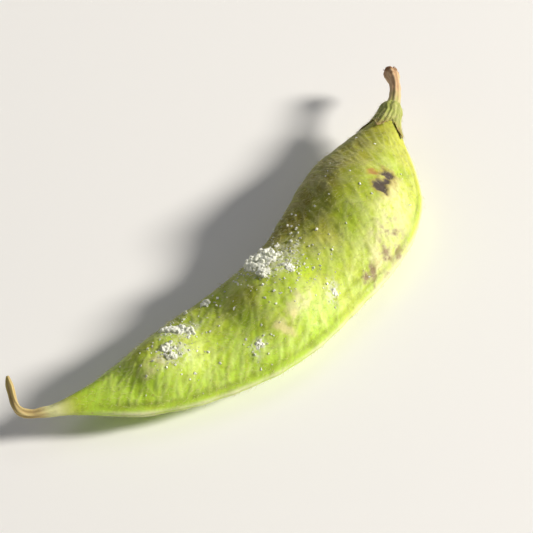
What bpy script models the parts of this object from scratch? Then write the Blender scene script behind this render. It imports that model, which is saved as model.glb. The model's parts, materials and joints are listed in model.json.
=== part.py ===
"""Edamame pod: a curved three-bean soya pod with its calyx, broken stalk and lumps of coarse salt.

The pod lies on its flank on the plane z = 0. Its beak points to -X, its stalk to +X and the
outer side of its bend faces -Y. Lengths are in metres, and angles in degrees.
"""

import math

import bmesh
import bpy
from mathutils import Matrix, Vector, noise

# Bend of the pod: its middle line keeps one heading at the beak and another at the stalk,
# and swings from the first to the second between two distances from the beak.
HEADING_BEAK = -21.0
HEADING_STALK = 24.0
BEND_START = 0.014
BEND_END = 0.056
LINE_STEP = 0.0005

# Ribs of the hull: distance from the beak, reach from the middle line to the outer seam and to
# the inner seam, half thickness through the valves, and height above the resting plane.
HULL_RIBS = (
    (0.0000, 0.00062, 0.00062, 0.00060, 0.0046),
    (0.0030, 0.00155, 0.00100, 0.00120, 0.0043),
    (0.0065, 0.00310, 0.00150, 0.00200, 0.0041),
    (0.0100, 0.00445, 0.00270, 0.00310, 0.0039),
    (0.0145, 0.00580, 0.00440, 0.00415, 0.0038),
    (0.0190, 0.00645, 0.00555, 0.00355, 0.0039),
    (0.0225, 0.00685, 0.00600, 0.00310, 0.0040),
    (0.0265, 0.00730, 0.00640, 0.00380, 0.0042),
    (0.0310, 0.00745, 0.00685, 0.00470, 0.0043),
    (0.0360, 0.00725, 0.00690, 0.00395, 0.0044),
    (0.0400, 0.00735, 0.00700, 0.00320, 0.0045),
    (0.0445, 0.00800, 0.00730, 0.00410, 0.0046),
    (0.0500, 0.00850, 0.00740, 0.00505, 0.0047),
    (0.0550, 0.00760, 0.00650, 0.00410, 0.0048),
    (0.0590, 0.00550, 0.00470, 0.00290, 0.0050),
    (0.0625, 0.00300, 0.00270, 0.00200, 0.0052),
    (0.0650, 0.00155, 0.00150, 0.00150, 0.0055),
    (0.0665, 0.00125, 0.00125, 0.00125, 0.0057),
)
NECK_END = 0.0669
NECK_HEIGHT = 0.00575
ROLL = 8.0

# Dry tip: offsets from the beak of the points it curls through, and its radius at each.
TIP_RIBS = (
    ((-0.0010, 0.0061, 0.0026), 0.0),
    ((-0.0012, 0.0058, 0.0023), 0.00036),
    ((-0.0018, 0.0048, 0.0015), 0.00042),
    ((-0.0026, 0.0036, 0.0006), 0.00046),
    ((-0.0027, 0.0024, 0.0001), 0.00048),
    ((-0.0015, 0.0011, -0.0001), 0.00052),
)

RING_SIDES = 8
SMOOTHING = 2

# Calyx: a thin cup over the neck, with a tooth every fifth of the way round.
CALYX_TEETH = 5
CALYX_SIDES = 3 * CALYX_TEETH
CALYX_RINGS = 5
CALYX_RIM = 0.0650
CALYX_TOOTH = 0.0026
CALYX_WALL = 0.0004

# Stalk: distance beyond the neck's end, sideways drift, height gained, and radius.
STALK_POINTS = (
    (0.0011, 0.0000, 0.0001, 0.00095),
    (0.0020, 0.0001, 0.0002, 0.00080),
    (0.0034, 0.0004, 0.0002, 0.00070),
    (0.0049, 0.0009, 0.0000, 0.00068),
    (0.0062, 0.0015, -0.0004, 0.00078),
    (0.0070, 0.0020, -0.0007, 0.00105),
    (0.0075, 0.0022, -0.0009, 0.00090),
)

# Salt that lies on the pod: place along and across from the beak, length, width and height,
# and how far the length is turned from the X axis.
SALT_LUMPS = (
    ("salt_crust", 0.0332, -0.0047, 0.0062, 0.0036, 0.0024, 20.0),
    ("salt_edge_lump", 0.0180, -0.0042, 0.0040, 0.0021, 0.0014, -15.0),
    ("salt_smear", 0.0144, -0.0063, 0.0027, 0.0020, 0.0010, 60.0),
    ("salt_crystal_1", 0.0303, -0.0069, 0.0019, 0.0015, 0.0014, 35.0),
    ("salt_crystal_2", 0.0332, -0.0086, 0.0021, 0.0015, 0.0014, -40.0),
    ("salt_crystal_3", 0.0228, -0.0129, 0.0014, 0.0012, 0.0011, 10.0),
    ("salt_crystal_4", 0.0353, -0.0143, 0.0013, 0.0010, 0.0010, 70.0),
    ("salt_crystal_5", 0.0236, -0.0034, 0.0014, 0.0011, 0.0010, 25.0),
)
SALT_ROUGHNESS = 0.28
SALT_SUNK = 0.25
FINE_LUMP_LENGTH = 0.0025

# Touching pieces keep this much air between them.
GAP = 0.0003


def clear_scene():
    """Remove the objects that a new file starts with."""
    for item in list(bpy.data.objects):
        bpy.data.objects.remove(item, do_unlink=True)


def new_collection(name):
    """Add a collection to the scene."""
    group = bpy.data.collections.new(name)
    bpy.context.scene.collection.children.link(group)
    return group


def new_material(name, colour, roughness):
    """Make a plain Principled material."""
    material = bpy.data.materials.new(name)
    material.use_nodes = True
    shader = material.node_tree.nodes["Principled BSDF"]
    shader.inputs["Base Color"].default_value = (*colour, 1.0)
    shader.inputs["Roughness"].default_value = roughness
    shader.inputs["Metallic"].default_value = 0.0
    return material


def object_from_bmesh(name, shape, material, group):
    """Turn a bmesh into a smooth object with its faces pointing out."""
    bmesh.ops.recalc_face_normals(shape, faces=shape.faces)
    mesh = bpy.data.meshes.new(name)
    shape.to_mesh(mesh)
    shape.free()
    mesh.shade_smooth()
    mesh.materials.append(material)
    item = bpy.data.objects.new(name, mesh)
    group.objects.link(item)
    return item


def add_subdivision(item, levels):
    """Round a coarse cage."""
    modifier = item.modifiers.new("Subdivision", "SUBSURF")
    modifier.levels = levels
    modifier.render_levels = levels


def heading_at(distance):
    """Give the middle line's direction, in radians, at a distance from the beak."""
    share = (distance - BEND_START) / (BEND_END - BEND_START)
    share = min(max(share, 0.0), 1.0)
    eased = share * share * (3.0 - 2.0 * share)
    return math.radians(HEADING_BEAK + (HEADING_STALK - HEADING_BEAK) * eased)


def line_point(distance, height):
    """Walk along the middle line from the beak and give the point reached."""
    steps = max(1, round(distance / LINE_STEP))
    stride = distance / steps
    x = 0.0
    y = 0.0
    for step in range(steps):
        heading = heading_at((step + 0.5) * stride)
        x += stride * math.cos(heading)
        y += stride * math.sin(heading)
    return Vector((x, y, height))


def pod_ribs():
    """List every rib from the dry tip to the neck: its centre, two reaches and half thickness."""
    beak = line_point(0.0, HULL_RIBS[0][4])
    ribs = [(beak + Vector(offset), radius, radius, radius) for offset, radius in TIP_RIBS]
    for distance, outer, inner, half_thickness, height in HULL_RIBS:
        ribs.append((line_point(distance, height), outer, inner, half_thickness))
    ribs.append((line_point(NECK_END, NECK_HEIGHT), 0.0, 0.0, 0.0))
    return ribs


def rib_axes(ribs, index):
    """Give the sideways and upward directions of a rib, which the roll leans to the inner side."""
    ahead = ribs[min(index + 1, len(ribs) - 1)][0]
    behind = ribs[max(index - 1, 0)][0]
    along = (ahead - behind).normalized()
    side = Vector((0.0, 0.0, 1.0)).cross(along).normalized()
    up = along.cross(side)
    lean = Matrix.Rotation(math.radians(ROLL), 3, along)
    return lean @ side, lean @ up


def build_hull_cage(name, material, group):
    """Shape a sphere's rings into the ribs of the pod and round the cage."""
    ribs = pod_ribs()
    last = len(ribs) - 1
    # A subdivided ring shrinks inside its cage, so the cage is made larger by as much.
    swell = 6.0 / (4.0 + 2.0 * math.cos(2.0 * math.pi / RING_SIDES))
    shape = bmesh.new()
    bmesh.ops.create_uvsphere(shape, u_segments=RING_SIDES, v_segments=last, radius=1.0)
    for vertex in shape.verts:
        polar = math.acos(min(max(vertex.co.z, -1.0), 1.0))
        index = round(polar / math.pi * last)
        around = math.atan2(vertex.co.y, vertex.co.x)
        centre, outer, inner, half_thickness = ribs[index]
        side, up = rib_axes(ribs, index)
        reach = inner if math.cos(around) > 0.0 else outer
        sideways = side * (reach * swell * math.cos(around))
        upward = up * (half_thickness * swell * math.sin(around))
        vertex.co = centre + sideways + upward
    item = object_from_bmesh(name, shape, material, group)
    add_subdivision(item, SMOOTHING)
    return item


def build_ground(group):
    """Make the cutter whose top is the resting plane."""
    size = 0.2
    shape = bmesh.new()
    bmesh.ops.create_cube(shape, size=size)
    bmesh.ops.translate(shape, verts=shape.verts, vec=(0.0, 0.0, -0.5 * size))
    ground = object_from_bmesh("ground_cutter", shape, bpy.data.materials["hull_green"], group)
    hide_cutter(ground)
    return ground


def hide_cutter(item):
    """Show a cutter as wires only and keep it out of renders."""
    item.hide_render = True
    item.display_type = "WIRE"


def cut(item, cutter):
    """Take a cutter's shape away from an object."""
    modifier = item.modifiers.new("Cut", "BOOLEAN")
    modifier.operation = "DIFFERENCE"
    modifier.solver = "EXACT"
    modifier.object = cutter


def build_pod(group, cutters):
    """Make the hull and press small flats under its beans."""
    material = new_material("hull_green", (0.42, 0.56, 0.09), 0.45)
    pod = build_hull_cage("pod", material, group)
    cut(pod, build_ground(cutters))
    return pod


def build_skin_cutter(pod, cutters):
    """Copy the hull and swell it by the gap, to cut what lies on it."""
    skin = bpy.data.objects.new("skin_cutter", pod.data)
    cutters.objects.link(skin)
    add_subdivision(skin, SMOOTHING)
    swell = skin.modifiers.new("Swell", "DISPLACE")
    swell.mid_level = 0.0
    swell.strength = GAP
    hide_cutter(skin)
    return skin


def hull_surface(pod, along, across):
    """Find the top of the hull at a place in plan, with its outward direction."""
    graph = bpy.context.evaluated_depsgraph_get()
    above = Vector((along, across, 0.05))
    hit, place, outward, _ = pod.ray_cast(above, Vector((0.0, 0.0, -1.0)), depsgraph=graph)
    if not hit:
        raise ValueError("the salt is beside the pod")
    return place, outward


def build_salt(pod, cutters, group):
    """Make each lump from a rough icosphere that is cut to sit on the hull."""
    material = new_material("sea_salt", (0.86, 0.86, 0.80), 0.5)
    skin = build_skin_cutter(pod, cutters)
    for number, (name, along, across, length, width, height, turn) in enumerate(SALT_LUMPS):
        place, outward = hull_surface(pod, along, across)
        shape = bmesh.new()
        detail = 3 if length > FINE_LUMP_LENGTH else 2
        bmesh.ops.create_icosphere(shape, subdivisions=detail, radius=0.5)
        for vertex in shape.verts:
            bump = noise.noise(vertex.co * 4.0 + Vector((3.0 * number, 0.0, 0.0)))
            vertex.co *= 1.0 + SALT_ROUGHNESS * bump
        lift = Matrix.Translation(place + outward * (height * SALT_SUNK))
        lean = outward.to_track_quat("Z", "Y").to_matrix().to_4x4()
        spin = Matrix.Rotation(math.radians(turn), 4, "Z")
        size = Matrix.Diagonal((length, width, height, 1.0))
        bmesh.ops.transform(shape, matrix=lift @ lean @ spin @ size, verts=shape.verts)
        lump = object_from_bmesh(name, shape, material, group)
        cut(lump, skin)


def build_calyx(pod, group):
    """Wrap a toothed cup round the neck: a bowl drawn onto the hull and given a wall."""
    material = new_material("calyx_tan", (0.45, 0.42, 0.16), 0.7)
    neck = line_point(NECK_END, NECK_HEIGHT)
    shape = bmesh.new()
    bmesh.ops.create_uvsphere(shape, u_segments=CALYX_SIDES, v_segments=2 * CALYX_RINGS, radius=1.0)
    upper = [vertex for vertex in shape.verts if vertex.co.z > 0.01]
    bmesh.ops.delete(shape, geom=upper, context="VERTS")
    for vertex in shape.verts:
        depth = math.acos(min(max(-vertex.co.z, -1.0), 1.0)) / (0.5 * math.pi)
        around = math.atan2(vertex.co.y, vertex.co.x)
        tooth = 0.5 + 0.5 * math.cos(CALYX_TEETH * around)
        reach = (NECK_END - CALYX_RIM + CALYX_TOOTH * tooth * depth) * depth
        radius = 0.0022 * math.sin(0.5 * math.pi * min(1.0, 1.6 * depth)) + 0.0012 * tooth * depth
        heading = heading_at(NECK_END - reach)
        side = Vector((-math.sin(heading), math.cos(heading), 0.0))
        centre = line_point(NECK_END - reach, NECK_HEIGHT - 0.15 * reach)
        if depth < 0.01:
            centre = neck + Vector((math.cos(heading), math.sin(heading), 0.0)) * GAP
        vertex.co = centre + side * (radius * math.cos(around)) + Vector((0.0, 0.0, radius * math.sin(around)))
    calyx = object_from_bmesh("calyx", shape, material, group)
    add_subdivision(calyx, 1)
    wrap = calyx.modifiers.new("Wrap", "SHRINKWRAP")
    wrap.target = pod
    wrap.wrap_method = "NEAREST_SURFACEPOINT"
    wrap.wrap_mode = "OUTSIDE_SURFACE"
    wrap.offset = GAP
    wall = calyx.modifiers.new("Wall", "SOLIDIFY")
    wall.thickness = CALYX_WALL
    wall.offset = 1.0
    return calyx


def build_stalk(group):
    """Draw the stalk as a tapering tube that swells where it was torn off."""
    heading = heading_at(NECK_END)
    along = Vector((math.cos(heading), math.sin(heading), 0.0))
    side = Vector((-math.sin(heading), math.cos(heading), 0.0))
    neck = line_point(NECK_END, NECK_HEIGHT)
    thickest = max(point[3] for point in STALK_POINTS)
    curve = bpy.data.curves.new("stalk", "CURVE")
    curve.dimensions = "3D"
    curve.bevel_depth = thickest
    curve.bevel_resolution = 2
    curve.use_fill_caps = True
    spline = curve.splines.new("POLY")
    spline.points.add(len(STALK_POINTS) - 1)
    for point, (distance, drift, rise, radius) in zip(spline.points, STALK_POINTS):
        place = neck + along * distance + side * drift + Vector((0.0, 0.0, rise))
        point.co = (*place, 1.0)
        point.radius = radius / thickest
    curve.materials.append(new_material("stalk_tan", (0.50, 0.38, 0.20), 0.75))
    stalk = bpy.data.objects.new("stalk", curve)
    group.objects.link(stalk)
    return stalk


def world_box(items):
    """Give the lowest and highest corners of some objects as they are evaluated."""
    graph = bpy.context.evaluated_depsgraph_get()
    low = Vector((math.inf, math.inf, math.inf))
    high = -low
    for item in items:
        seen = item.evaluated_get(graph)
        mesh = seen.to_mesh()
        for vertex in mesh.vertices:
            place = seen.matrix_world @ vertex.co
            low = Vector(map(min, low, place))
            high = Vector(map(max, high, place))
        seen.to_mesh_clear()
    return low, high


def centre_on_base(parts, cutters):
    """Hang everything on an empty that brings the middle of the base to the origin."""
    low, high = world_box(parts.objects)
    base = bpy.data.objects.new("pod_base", None)
    parts.objects.link(base)
    for item in [*parts.objects, *cutters.objects]:
        if item is not base:
            item.parent = base
    base.location = (-0.5 * (low.x + high.x), -0.5 * (low.y + high.y), 0.0)


def main():
    """Build the whole pod."""
    clear_scene()
    parts = new_collection("edamame_pod")
    cutters = new_collection("cutters")
    pod = build_pod(parts, cutters)
    build_calyx(pod, parts)
    build_stalk(parts)
    build_salt(pod, cutters, parts)
    centre_on_base(parts, cutters)


main()
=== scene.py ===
"""Edamame pod, charred and salted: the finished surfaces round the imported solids.

The file is laid out as a Blender add-on and run as a script. One operator builds each piece or
group of like pieces, one builds the stage, and main() calls them in order. Lengths are in metres.
"""

import json
import math
from types import SimpleNamespace

import bmesh
import bpy
import numpy as np
from bpy.props import FloatProperty, FloatVectorProperty, IntProperty, PointerProperty
from mathutils import Euler, Matrix, Vector, noise
from mathutils.bvhtree import BVHTree


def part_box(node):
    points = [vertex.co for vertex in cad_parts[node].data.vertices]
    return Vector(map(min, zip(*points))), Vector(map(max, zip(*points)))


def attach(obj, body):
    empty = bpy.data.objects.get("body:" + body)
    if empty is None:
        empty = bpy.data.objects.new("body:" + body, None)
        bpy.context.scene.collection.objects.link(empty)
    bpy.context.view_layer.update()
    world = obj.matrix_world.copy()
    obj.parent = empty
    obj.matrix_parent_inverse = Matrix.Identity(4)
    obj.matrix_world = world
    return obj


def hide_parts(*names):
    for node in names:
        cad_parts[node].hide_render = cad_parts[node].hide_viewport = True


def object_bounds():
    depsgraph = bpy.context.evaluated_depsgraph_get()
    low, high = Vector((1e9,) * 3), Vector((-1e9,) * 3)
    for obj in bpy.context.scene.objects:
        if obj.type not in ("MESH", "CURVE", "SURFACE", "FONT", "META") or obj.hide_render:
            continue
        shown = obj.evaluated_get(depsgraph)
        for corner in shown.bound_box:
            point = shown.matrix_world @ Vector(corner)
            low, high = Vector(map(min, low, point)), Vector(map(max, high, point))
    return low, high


bl_info = {
    "name": "Edamame pod",
    "version": (1, 0, 0),
    "blender": (4, 5, 0),
    "location": "View3D > Sidebar > Edamame",
    "description": "Builds a charred, salted edamame pod with fuzz, calyx, stalk and salt",
    "category": "Add Mesh",
}

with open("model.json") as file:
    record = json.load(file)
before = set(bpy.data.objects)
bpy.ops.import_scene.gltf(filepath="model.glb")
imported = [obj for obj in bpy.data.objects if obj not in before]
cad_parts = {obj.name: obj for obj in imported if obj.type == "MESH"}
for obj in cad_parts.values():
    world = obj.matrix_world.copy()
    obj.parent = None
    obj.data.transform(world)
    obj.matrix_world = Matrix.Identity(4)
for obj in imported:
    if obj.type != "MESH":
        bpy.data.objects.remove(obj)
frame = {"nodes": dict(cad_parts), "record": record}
CAD_LOW, CAD_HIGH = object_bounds()
SALT_NODES = [part["node"] for part in frame["record"]["subparts"] if part["node"].startswith("salt_")]

# The middle line keeps one heading at the beak and another at the stalk, in degrees, and swings
# between them over this stretch. Distances run along it from the beak, and are negative on the tip.
HEADING_BEAK = -21.0
HEADING_STALK = 24.0
BEND_START = 0.014
BEND_END = 0.056

# Ribs of the hull, as in the solid: distance from the beak, reach to the outer seam and to the
# inner seam, half thickness through the valves, and height of the middle line.
HULL_RIBS = (
    (0.0000, 0.00062, 0.00062, 0.00060, 0.0046),
    (0.0030, 0.00155, 0.00100, 0.00120, 0.0043),
    (0.0065, 0.00310, 0.00150, 0.00200, 0.0041),
    (0.0100, 0.00445, 0.00270, 0.00310, 0.0039),
    (0.0145, 0.00580, 0.00440, 0.00415, 0.0038),
    (0.0190, 0.00645, 0.00555, 0.00355, 0.0039),
    (0.0225, 0.00685, 0.00600, 0.00310, 0.0040),
    (0.0265, 0.00730, 0.00640, 0.00380, 0.0042),
    (0.0310, 0.00745, 0.00685, 0.00470, 0.0043),
    (0.0360, 0.00725, 0.00690, 0.00395, 0.0044),
    (0.0400, 0.00735, 0.00700, 0.00320, 0.0045),
    (0.0445, 0.00800, 0.00730, 0.00410, 0.0046),
    (0.0500, 0.00850, 0.00740, 0.00505, 0.0047),
    (0.0550, 0.00760, 0.00650, 0.00410, 0.0048),
    (0.0590, 0.00550, 0.00470, 0.00290, 0.0050),
    (0.0625, 0.00300, 0.00270, 0.00200, 0.0052),
    (0.0650, 0.00155, 0.00150, 0.00150, 0.0055),
    (0.0665, 0.00125, 0.00125, 0.00125, 0.0057),
)
NECK_END = 0.0669
NECK_HEIGHT = 0.00575
ROLL = 8.0
# Above 1 this draws the section in towards its two seams.
PINCH = 1.18

# Dry tip: offsets from the beak of the points it curls through, its radius, and its distance.
TIP_RIBS = (
    ((-0.0010, 0.0061, 0.0026), 0.00010, -0.0094),
    ((-0.0012, 0.0058, 0.0023), 0.00036, -0.0089),
    ((-0.0018, 0.0048, 0.0015), 0.00042, -0.0075),
    ((-0.0026, 0.0036, 0.0006), 0.00046, -0.0058),
    ((-0.0027, 0.0024, 0.0001), 0.00048, -0.0040),
    ((-0.0015, 0.0011, -0.0001), 0.00052, -0.0019),
)

# Stalk: distance beyond the neck's end, sideways drift, height gained, and radius.
STALK_POINTS = (
    (0.0004, 0.0000, 0.0001, 0.00100),
    (0.0011, 0.0000, 0.0001, 0.00092),
    (0.0020, 0.0001, 0.0002, 0.00078),
    (0.0034, 0.0004, 0.0002, 0.00070),
    (0.0049, 0.0009, 0.0000, 0.00068),
    (0.0062, 0.0015, -0.0004, 0.00080),
    (0.0070, 0.0020, -0.0007, 0.00104),
    (0.0075, 0.0022, -0.0009, 0.00088),
)
STALK_RINGS = 90
STALK_SIDES = 40
# How far the bark's roughness stands out, how far the torn end reaches in and out, and its fibres.
BARK_HEIGHT = 0.00007
RAGGED_REACH = 0.0005
FIBRES = 34
FIBRE_ROOT = 0.00011
FIBRE_TIP = 0.00003

# Calyx: distances beyond the neck's end, and radii, of the rings at its base. Its cup starts where
# CALYX_START says along the middle line, reaches back over the hull, hugs it closer the further it
# reaches, and ends in teeth that curl off it.
CALYX_BASE = (
    (0.00120, 0.00088),
    (0.00100, 0.00108),
    (0.00070, 0.00128),
    (0.00035, 0.00144),
    (0.00000, 0.00156),
    (-0.00035, 0.00163),
)
CALYX_START = 0.0663
CALYX_DEPTH = 0.0013
CALYX_LIFT = 0.00036
CALYX_HUG = 0.00020
CALYX_THICKNESS = 0.00034
PLEAT_HEIGHT = 0.00005
MIDRIB_HEIGHT = 0.00007
CALYX_TEETH = 5
TOOTH_LENGTH = 0.0024
TOOTH_CURL = 0.00016
CALYX_RINGS = 30
CALYX_SIDES = 150
# The cup's directions are read off this many frames from this rib to the neck.
CALYX_FIRST_RIB = 20.0
CALYX_FRAMES = 200

# Salt lumps: how deep they sink, how much their height shrinks, and the crystals caked on them.
LUMP_SINK = 0.00015
LUMP_SINK_SHARE = 0.085
LUMP_FLATTENING = 0.45
FEWEST_CRYSTALS = 14
CRYSTALS_PER_METRE = 18000.0
CRYSTAL_SMALLEST = 0.00020
CRYSTAL_LARGEST = 0.00070
CAKE_CELL = 0.00008
CAKE_CELL_SMALL = 0.00005

# Marks on the hull. Each place is given along and across from the beak in plan, and on the upper
# or the lower valve: char spots with a radius, and ellipses of pale, pinkish, scorched, bruised or
# salt-filmed skin with a half length, a half width and a turn in degrees. The first two pale
# ellipses, on the third bean's outer flank, are partly a painted highlight.
CHAR_SPOTS = (
    (0.0530, -0.0077, 1, 0.00100),
    (0.0518, -0.0083, 1, 0.00050),
    (0.0504, -0.0087, 1, 0.00100),
    (0.0160, -0.0050, -1, 0.00090),
    (0.0472, -0.0062, -1, 0.00110),
    (0.0335, -0.0100, -1, 0.00060),
)
# The first two lie on the third bean's outer flank: partly pale skin, partly a painted highlight.
PALE_PATCHES = (
    (0.0500, -0.0112, 1, 0.0064, 0.0024, 42.0),
    (0.0452, -0.0140, 1, 0.0046, 0.0024, 32.0),
    (0.0300, -0.0126, 1, 0.0036, 0.0012, 0.0),
    (0.0120, -0.0062, 1, 0.0024, 0.0012, -20.0),
    (0.0420, -0.0100, -1, 0.0045, 0.0022, 20.0),
)
BLUSH_PATCHES = (
    (0.0266, -0.0137, 1, 0.0015, 0.0006, -60.0),
    (0.0285, -0.0133, 1, 0.0008, 0.0004, 20.0),
    (0.0432, -0.0148, 1, 0.0013, 0.0006, 40.0),
)
SCORCH_PATCHES = (
    (0.0515, -0.0064, 1, 0.0010, 0.0007, 0.0),
)
BRUISE_PATCHES = (
    (0.0458, -0.0144, 1, 0.0038, 0.0018, 38.0),
    (0.0408, -0.0153, 1, 0.0018, 0.0009, 25.0),
    (0.0375, -0.0060, -1, 0.0024, 0.0014, 10.0),
)
BLOOM_PATCHES = (
    (0.0335, -0.0060, 1, 0.0046, 0.0026, 10.0),
    (0.0180, -0.0046, 1, 0.0030, 0.0014, -15.0),
    (0.0146, -0.0066, 1, 0.0024, 0.0016, -30.0),
    (0.0228, -0.0128, 1, 0.0014, 0.0009, 10.0),
    (0.0353, -0.0140, 1, 0.0020, 0.0008, 40.0),
    (0.0300, -0.0120, -1, 0.0034, 0.0018, 0.0),
)
PATCHES = {
    "pale": PALE_PATCHES,
    "blush": BLUSH_PATCHES,
    "bruise": BRUISE_PATCHES,
    "bloom": BLOOM_PATCHES,
    "scorch": SCORCH_PATCHES,
}
# Beans under the skin: distance from the beak, half length and half width.
BEANS = (
    (0.0145, 0.0052, 0.0048),
    (0.0308, 0.0054, 0.0056),
    (0.0500, 0.0060, 0.0064),
)
# How far a bean swells the skin, and how far the skin sinks between the beans.
BEAN_RISE = 0.00078
BEAN_DIP = 0.00050

# Line patterns of the skin: slants in degrees from the middle line, lengths and spacings. Links
# join the veins crosswise, and the depths keep the two valves' patterns apart.
VEIN_SLANT = 38.0
VEIN_LENGTH = 0.0056
VEIN_GAP = 0.00105
LINK_LENGTH = 0.0050
LINK_GAP = 0.0018
PATTERN_DEPTH = 0.006
HATCH_SLANT = 62.0
HATCH_LENGTH = 0.0024
HATCH_GAP = 0.00042
HATCH_DEPTH = 0.004
WRINKLE_LENGTH = 0.0045
WRINKLE_GAP = 0.0009
CREASE_LENGTH = 0.0024

# How far the skin's relief stands out or sinks in, in metres.
SWELL_HEIGHT = 0.00020
DIMPLE_HEIGHT = 0.00007
HATCH_HEIGHT = 0.00005
WRINKLE_HEIGHT = 0.000035
SEAM_WRINKLE_HEIGHT = 0.00007
PALE_RISE = 0.00007
BLISTER_HEIGHT = 0.00005
CHAR_RIM = 0.00006
CHAR_DEPTH = 0.00016
SHRIVEL_HEIGHT = 0.00016
# The furrow along the outer seam, and its distance from the seam.
FURROW_DEPTH = 0.00012
FURROW_PLACE = 0.00120
FURROW_WIDTH = 0.00040
# Below this height the skin is pressed flat towards the floor.
PRESSED_HEIGHT = 0.0002

# Hairs: the bend of one, as shares of its length forward and up, and the turns in radians that
# make them sway from their lie.
HAIR_BEND = ((0.0, -0.06), (0.18, 0.40), (0.80, 0.46))
HAIR_SWAY_LEAST = (-0.35, -0.2, -0.9)
HAIR_SWAY_MOST = (0.35, 0.6, 0.9)
# Loose grains: their turns in radians, and their sides as shares of the largest grain's.
GRAIN_TURN_LEAST = (-0.7, -0.7, -3.1)
GRAIN_TURN_MOST = (0.7, 0.7, 3.1)
GRAIN_SIDES_LEAST = (0.25, 0.25, 0.3)
GRAIN_SIDES_MOST = (1.0, 0.9, 1.0)

# Stage: the floor's flat radius, the width and height of its sweep, the lens and sensor in
# millimetres, and how far the aim lies from the pod's middle.
FLOOR_FLAT = 2.0
FLOOR_SWEEP = 1.2
FLOOR_RISE = 1.0
LENS_LENGTH = 200.0
SENSOR_WIDTH = 36.0
AIM_SHIFT = 0.0005
# Each lamp: its turn from the camera and its height in degrees, its size, power and colour.
LAMPS = (
    ("key", 94.0, 26.0, 0.32, 36.0, "#fffaf2"),
    ("fill", -70.0, 35.0, 1.00, 1.0, "#f6f8ff"),
    ("top", 160.0, 60.0, 0.80, 1.5, "#ffffff"),
)
LAMP_DISTANCE = 1.50
SKY_COLOUR = "#f9faff"
SKY_STRENGTH = 0.14

RINGS = 500
RING_SIDES = 176


def linear(code):
    """Turn an sRGB hex colour into linear red, green and blue."""
    levels = [int(code[place : place + 2], 16) / 255.0 for place in (1, 3, 5)]
    return tuple(v / 12.92 if v <= 0.04045 else ((v + 0.055) / 1.055) ** 2.4 for v in levels)


def colour_choice(name, description, code):
    """Describe a colour that a user may change."""
    return FloatVectorProperty(
        name=name, description=description, subtype="COLOR", size=3, min=0.0, max=1.0, default=linear(code)
    )


class HullSettings(bpy.types.PropertyGroup):
    """Colours and surface of the hull."""

    fresh: colour_choice("Fresh green", "Main green of the boiled hull", "#adc232")
    ripe: colour_choice("Yellow green", "Yellower green over the beans", "#c0c242")
    # Olive is the pod's own duller green in the mottling, and also painted shade in the hatching's grooves
    # and in the furrow beside the outer seam.
    olive: colour_choice("Olive", "Duller green of thick skin", "#7d8a26")
    # Lime is partly the pod's own brighter green towards the beak and partly painted light along the outer
    # seam's side.
    lime: colour_choice("Lime", "Brighter green towards the beak and the outer seam", "#b9da3e")
    # Olive brown is partly the pod's own duller tone towards the stalk and partly painted shade along the
    # inner seam's side.
    brown: colour_choice("Olive brown", "Duller skin towards the stalk and the inner seam", "#878026")
    # Ridges are a painted highlight on the raised hatching.
    ridge: colour_choice("Ridges", "Yellow green along the raised hatching", "#cdd84c")
    # Pale is partly cream skin lifted in the heat and partly a painted highlight on the third bean's outer
    # flank.
    pale: colour_choice("Pale skin", "Cream skin that has lifted in the heat", "#cfce8c")
    bruise: colour_choice("Bruise", "Mauve brown mottling of bruised skin", "#96825c")
    bloom: colour_choice("Bloom", "Salt that dried to a film", "#dcdfc6")
    blush: colour_choice("Blush", "Pinkish cream flecks", "#dad48c")
    seam: colour_choice("Seam", "Whitish fibre along the seams", "#e2e2b6")
    halo: colour_choice("Scorched ring", "Orange brown skin round a char spot", "#9a7c3c")
    scorch: colour_choice("Scorch", "Orange brown fleck of scorched skin", "#b08a4a")
    char: colour_choice("Char", "Blackened skin", "#4f453d")
    tip_base: colour_choice("Tip base", "Whitish green where the beak thins", "#d6d69a")
    tip_dry: colour_choice("Dry tip", "Withered tan tip", "#d2bd82")
    # Tip creases are painted shade in the dry tip's sunken creases.
    tip_crease: colour_choice("Tip creases", "Darker brown in the creases of the tip", "#93764a")
    vein_height: FloatProperty(
        name="Vein height", description="Height of the fine slanting veins", default=0.00008,
        min=0.0, unit="LENGTH",
    )
    seam_height: FloatProperty(
        name="Seam height", description="How far the outer seam stands out", default=0.00034,
        min=0.0, unit="LENGTH",
    )


class FuzzSettings(bpy.types.PropertyGroup):
    """The short hairs on the hull and calyx."""

    hair: colour_choice("Hair", "Tawny white of the hairs", "#d6cf92")
    length: FloatProperty(
        name="Hair length", description="Longest hair", default=0.00085, min=0.0, unit="LENGTH"
    )
    # Real hairs are about 0.03 mm thick, too fine to show, so they are drawn somewhat thicker.
    thickness: FloatProperty(
        name="Hair thickness", description="Radius at the root", default=0.000020, min=0.0, unit="LENGTH"
    )
    density: FloatProperty(
        name="Hairs per square metre", description="Hairs on the hull", default=4.6e6, min=0.0
    )
    seed: IntProperty(name="Seed", description="Changes where the hairs grow", default=7, min=0)


class StalkSettings(bpy.types.PropertyGroup):
    """Colours of the calyx and the stalk."""

    calyx: colour_choice("Calyx", "Dry green tan of the calyx", "#9ba24e")
    calyx_edge: colour_choice("Calyx edge", "Browned teeth", "#9a8048")
    stalk_green: colour_choice("Stalk green", "Green that is left near the calyx", "#a8a65a")
    stalk_tan: colour_choice("Stalk tan", "Pinkish tan of the dry stalk", "#c29a72")
    torn: colour_choice("Torn end", "Brown of the torn fibres", "#8d5f34")


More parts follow.
